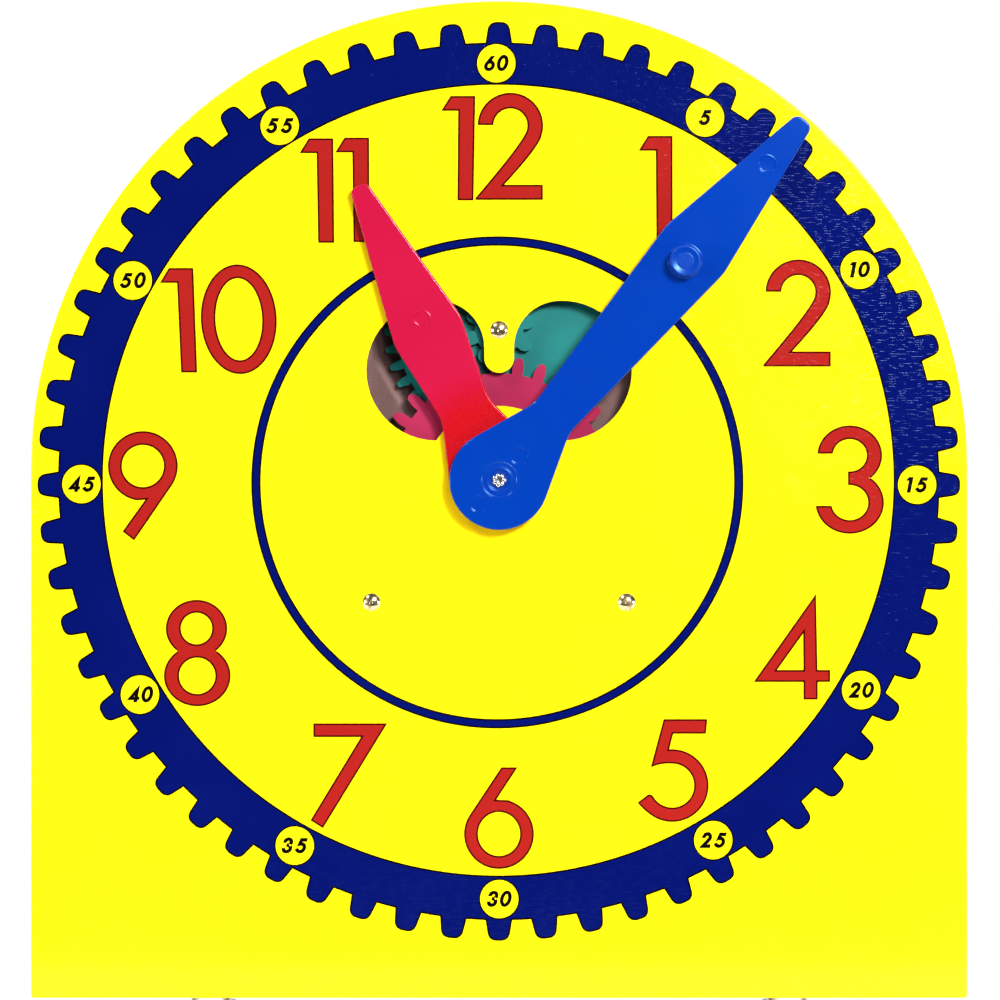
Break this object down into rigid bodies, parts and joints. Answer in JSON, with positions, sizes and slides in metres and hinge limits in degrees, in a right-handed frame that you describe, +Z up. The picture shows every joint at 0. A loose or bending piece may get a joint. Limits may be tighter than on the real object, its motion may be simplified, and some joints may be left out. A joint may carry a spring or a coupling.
{
  "type": "geared teaching clock",
  "caption": "Classroom teaching clock: arched board standing on swing-out steel feet, with geared hands on one axis and a window that shows the gears tying the hands together.",
  "frame": {"origin": "on the table, under the middle of the board's thickness and width", "axes": "+X to the right and +Z up as seen from the dial's front, +Y towards the back"},
  "size_m": [0.3238, 0.1, 0.3515],
  "materials": {
    "board_yellow": "gloss yellow paint and print on board",
    "cover_hardboard": "bare brown hardboard",
    "rivet_brass": "brassed, lightly tarnished",
    "rivet_steel": "bright plated, clinched end",
    "washer_steel": "zinc plated",
    "thrust_fibre": "red-brown fibre",
    "gear_red": "moulded red plastic",
    "gear_teal": "moulded teal plastic",
    "pinion_blue": "moulded blue plastic",
    "hand_crimson": "moulded crimson plastic, satin",
    "hand_blue": "moulded blue plastic, satin",
    "foot_steel": "zinc plated strip",
    "screw_steel": "zinc plated",
    "spacer_nylon": "white nylon"
  },
  "bodies": {
    "case": {"face_board": "board_yellow", "back_cover": "cover_hardboard", "idler_rivet": "rivet_brass", "idler_rivet_washer": "washer_steel", "left_cover_rivet": "rivet_brass", "left_cover_rivet_washer": "washer_steel", "right_cover_rivet": "rivet_brass", "right_cover_rivet_washer": "washer_steel", "centre_rivet": "rivet_steel", "centre_rivet_washer": "washer_steel", "centre_thrust_washer": "thrust_fibre", "idler_thrust_washer": "thrust_fibre", "left_foot_screw": "screw_steel", "left_foot_spacer": "spacer_nylon", "left_foot_screw_washer": "screw_steel", "right_foot_screw": "screw_steel", "right_foot_spacer": "spacer_nylon", "right_foot_screw_washer": "screw_steel"},
    "minute": {"minute_pinion": "pinion_blue", "minute_hand": "hand_blue"},
    "hour": {"hour_gear": "gear_red", "hour_hand": "hand_crimson"},
    "idler": {"idler_gear": "gear_teal"},
    "left_foot": {"left_foot": "foot_steel"},
    "right_foot": {"right_foot": "foot_steel"}
  },
  "joints": [
    {"name": "minute_spin", "type": "hinge", "parent": "case", "child": "minute", "pos_m": [0, 0, 0.18585], "axis": [0, 1, 0], "continuous": true},
    {"name": "hour_spin", "type": "hinge", "parent": "case", "child": "hour", "pos_m": [0, 0, 0.18585], "axis": [0, 1, 0], "continuous": true},
    {"name": "idler_spin", "type": "hinge", "parent": "case", "child": "idler", "pos_m": [0, 0, 0.23785], "axis": [0, 1, 0], "continuous": true},
    {"name": "left_foot_swing", "type": "hinge", "parent": "case", "child": "left_foot", "pos_m": [-0.1, 0, 0.005], "axis": [0, 0, 1], "range_deg": [-90, 90]},
    {"name": "right_foot_swing", "type": "hinge", "parent": "case", "child": "right_foot", "pos_m": [0.1, 0, 0.005], "axis": [0, 0, 1], "range_deg": [-90, 90]}
  ],
  "couplings": [
    {"joint": "hour_spin", "follows": "minute_spin", "ratio": 0.083333},
    {"joint": "idler_spin", "follows": "minute_spin", "ratio": -0.33333}
  ]
}
